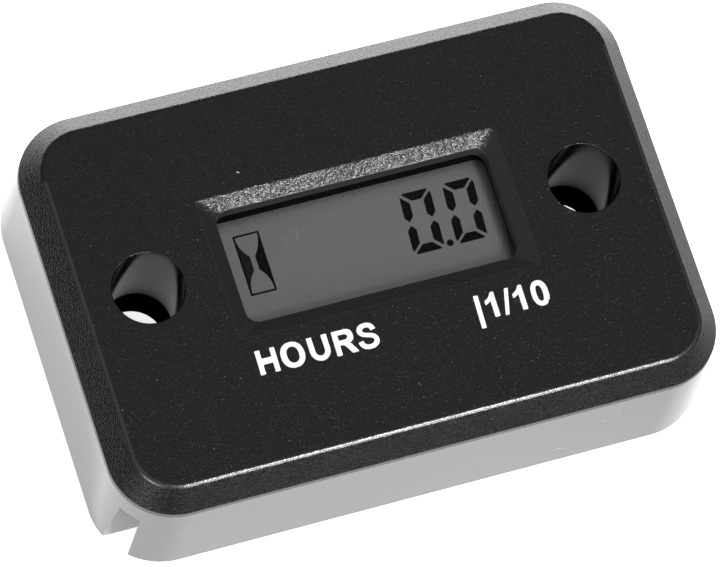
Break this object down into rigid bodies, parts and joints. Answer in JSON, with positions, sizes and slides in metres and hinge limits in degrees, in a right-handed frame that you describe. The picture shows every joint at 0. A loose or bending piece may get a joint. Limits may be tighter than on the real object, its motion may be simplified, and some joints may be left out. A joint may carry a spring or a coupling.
{
  "type": "hour meter",
  "caption": "Sealed rectangular hour meter with a sunk display window, a screw hole at each end and a wire inlet in one back corner.",
  "frame": {"origin": "centre of the outline at the back plane, which the meter is screwed down on", "axes": "+X along the long side towards the right of the face, +Y towards the top edge of the face, +Z out of the face"},
  "size_m": [0.053, 0.036, 0.0127],
  "materials": {
    "housing_black": "fine grain on the face and bevel, polished on the side walls and in the screw holes",
    "potting_black": "self-levelled resin, glossy",
    "window_clear": "clear polished plastic",
    "polariser_grey": "satin film with dark display segments",
    "display_glass": "clear ground-edge glass",
    "reflector_silver": "satin silver film",
    "holder_white": "moulded, satin",
    "contact_strip_pink": "silicone rubber with fine dark stripes",
    "board_green": "green solder mask on glass laminate",
    "cell_steel": "drawn and plated",
    "tab_nickel": "rolled nickel strip",
    "capacitor_tan": "fired ceramic with tinned ends",
    "resistor_black": "glazed film with tinned ends",
    "resin_black": "moulded epoxy"
  },
  "bodies": {
    "root": {"housing": "housing_black", "potting_compound": "potting_black", "window_lens": "window_clear", "lcd_front_polariser": "polariser_grey", "lcd_front_glass": "display_glass", "lcd_rear_glass": "display_glass", "lcd_reflector": "reflector_silver", "lcd_holder": "holder_white", "contact_strip_upper": "contact_strip_pink", "contact_strip_lower": "contact_strip_pink", "circuit_board": "board_green", "coin_cell": "cell_steel", "cell_tab_plus": "tab_nickel", "cell_tab_minus": "tab_nickel", "processor_blob": "resin_black", "watch_crystal": "cell_steel", "load_capacitor_1": "capacitor_tan", "load_capacitor_2": "capacitor_tan", "supply_capacitor": "capacitor_tan", "signal_capacitor": "capacitor_tan", "input_resistor": "resistor_black", "bias_resistor": "resistor_black", "pull_resistor": "resistor_black", "signal_transistor": "resin_black", "clamp_diode": "resin_black"}
  },
  "joints": []
}
